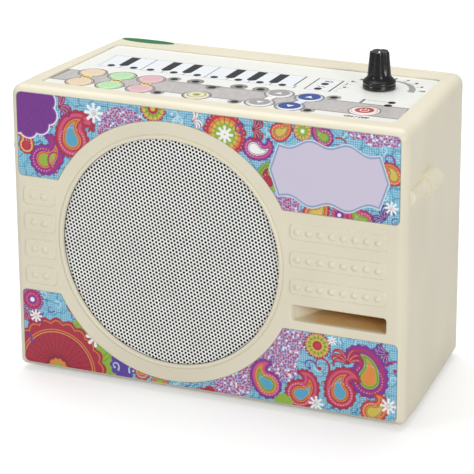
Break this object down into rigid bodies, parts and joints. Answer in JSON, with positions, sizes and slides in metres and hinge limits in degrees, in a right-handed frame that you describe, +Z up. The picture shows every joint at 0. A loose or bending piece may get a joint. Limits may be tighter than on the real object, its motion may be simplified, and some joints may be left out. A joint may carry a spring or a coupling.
{
  "type": "electronic tanpura",
  "caption": "Drone instrument in a cream moulded cabinet with a round speaker grille, printed front labels, round coloured keys and a volume knob on top, and a battery door behind.",
  "frame": {"origin": "bottom centre of the whole instrument, on the surface that its feet stand on", "axes": "+X to the right seen from the front, +Y from the front to the rear, +Z up"},
  "size_m": [0.244, 0.1222, 0.1879],
  "materials": {
    "cabinet": "fine moulded texture, cream",
    "label": "printed film",
    "overlay": "satin printed film",
    "key_orange": "satin, pale orange",
    "key_green": "satin, pale green",
    "key_pink": "satin, pink",
    "key_yellow": "satin, yellow",
    "key_grey": "satin, grey",
    "key_blue": "satin, blue",
    "key_power": "satin, red",
    "grille": "punched sheet, pale silver lacquer",
    "black_plastic": "satin black",
    "rubber": "matt black",
    "zinc": "zinc plated",
    "ferrite": "dark, matt",
    "paper": "black pressed paper",
    "laminate": "green circuit board",
    "winding": "enamelled copper wire under tape",
    "aluminium": "plain",
    "cell_wrap": "wrapped dry cell"
  },
  "bodies": {
    "cabinet": {"front_housing": "cabinet", "front_label_upper": "label", "front_label_lower": "label", "keypad_overlay": "overlay", "speaker_grille": "grille", "speaker_gasket": "rubber", "speaker_basket": "zinc", "speaker_cone": "paper", "speaker_dust_cap": "paper", "speaker_magnet": "ferrite", "speaker_screw_1": "zinc", "speaker_screw_2": "zinc", "speaker_screw_3": "zinc", "speaker_screw_4": "zinc", "bass_port_duct": "cabinet", "control_board": "laminate", "volume_potentiometer": "zinc", "potentiometer_nut": "zinc", "rear_cover": "cabinet", "battery_cell_1": "cell_wrap", "battery_cell_2": "cell_wrap", "battery_cell_3": "cell_wrap", "battery_cell_4": "cell_wrap", "battery_cell_5": "cell_wrap", "battery_cell_6": "cell_wrap", "battery_contacts_lower": "zinc", "battery_contacts_upper": "zinc", "cover_screw_1": "zinc", "cover_screw_2": "zinc", "cover_screw_3": "zinc", "cover_screw_4": "zinc", "mains_inlet": "black_plastic", "line_out_jack": "black_plastic", "line_out_nut": "zinc", "sound_board": "laminate", "amplifier_heat_sink": "aluminium", "transformer_core": "zinc", "transformer_coil": "winding", "power_board": "laminate", "foot_front_left": "rubber", "foot_front_right": "rubber", "foot_rear_left": "rubber", "foot_rear_right": "rubber"},
    "knob": {"volume_knob": "black_plastic", "volume_shaft": "aluminium"},
    "door": {"battery_door": "cabinet"},
    "orange_up": {"key_orange_up": "key_orange"},
    "orange_down": {"key_orange_down": "key_orange"},
    "green_up": {"key_green_up": "key_green"},
    "green_down": {"key_green_down": "key_green"},
    "pink_up": {"key_pink_up": "key_pink"},
    "pink_down": {"key_pink_down": "key_pink"},
    "yellow": {"key_yellow": "key_yellow"},
    "grey_up": {"key_grey_up": "key_grey"},
    "grey_down": {"key_grey_down": "key_grey"},
    "blue_up": {"key_blue_up": "key_blue"},
    "blue_down": {"key_blue_down": "key_blue"},
    "power": {"key_power": "key_power"}
  },
  "joints": [
    {"name": "volume_turn", "type": "hinge", "parent": "cabinet", "child": "knob", "pos_m": [0.0722, 0.01555, 0.167], "axis": [0, 0, 1], "range_deg": [-140, 140]},
    {"name": "battery_door_hinge", "type": "hinge", "parent": "cabinet", "child": "door", "pos_m": [0, 0.0594, 0.01825], "axis": [-1, 0, 0], "range_deg": [0, 90]},
    {"name": "press_orange_up", "type": "slide", "parent": "cabinet", "child": "orange_up", "axis": [0, 0, -1], "range_m": [0, 0.0005], "stiffness_N_per_m": 1500, "springref_m": -0.0002},
    {"name": "press_orange_down", "type": "slide", "parent": "cabinet", "child": "orange_down", "axis": [0, 0, -1], "range_m": [0, 0.0005], "stiffness_N_per_m": 1500, "springref_m": -0.0002},
    {"name": "press_green_up", "type": "slide", "parent": "cabinet", "child": "green_up", "axis": [0, 0, -1], "range_m": [0, 0.0005], "stiffness_N_per_m": 1500, "springref_m": -0.0002},
    {"name": "press_green_down", "type": "slide", "parent": "cabinet", "child": "green_down", "axis": [0, 0, -1], "range_m": [0, 0.0005], "stiffness_N_per_m": 1500, "springref_m": -0.0002},
    {"name": "press_pink_up", "type": "slide", "parent": "cabinet", "child": "pink_up", "axis": [0, 0, -1], "range_m": [0, 0.0005], "stiffness_N_per_m": 1500, "springref_m": -0.0002},
    {"name": "press_pink_down", "type": "slide", "parent": "cabinet", "child": "pink_down", "axis": [0, 0, -1], "range_m": [0, 0.0005], "stiffness_N_per_m": 1500, "springref_m": -0.0002},
    {"name": "press_yellow", "type": "slide", "parent": "cabinet", "child": "yellow", "axis": [0, 0, -1], "range_m": [0, 0.0005], "stiffness_N_per_m": 1500, "springref_m": -0.0002},
    {"name": "press_grey_up", "type": "slide", "parent": "cabinet", "child": "grey_up", "axis": [0, 0, -1], "range_m": [0, 0.0005], "stiffness_N_per_m": 1500, "springref_m": -0.0002},
    {"name": "press_grey_down", "type": "slide", "parent": "cabinet", "child": "grey_down", "axis": [0, 0, -1], "range_m": [0, 0.0005], "stiffness_N_per_m": 1500, "springref_m": -0.0002},
    {"name": "press_blue_up", "type": "slide", "parent": "cabinet", "child": "blue_up", "axis": [0, 0, -1], "range_m": [0, 0.0005], "stiffness_N_per_m": 1500, "springref_m": -0.0002},
    {"name": "press_blue_down", "type": "slide", "parent": "cabinet", "child": "blue_down", "axis": [0, 0, -1], "range_m": [0, 0.0005], "stiffness_N_per_m": 1500, "springref_m": -0.0002},
    {"name": "press_power", "type": "slide", "parent": "cabinet", "child": "power", "axis": [0, 0, -1], "range_m": [0, 0.0005], "stiffness_N_per_m": 1500, "springref_m": -0.0002}
  ]
}
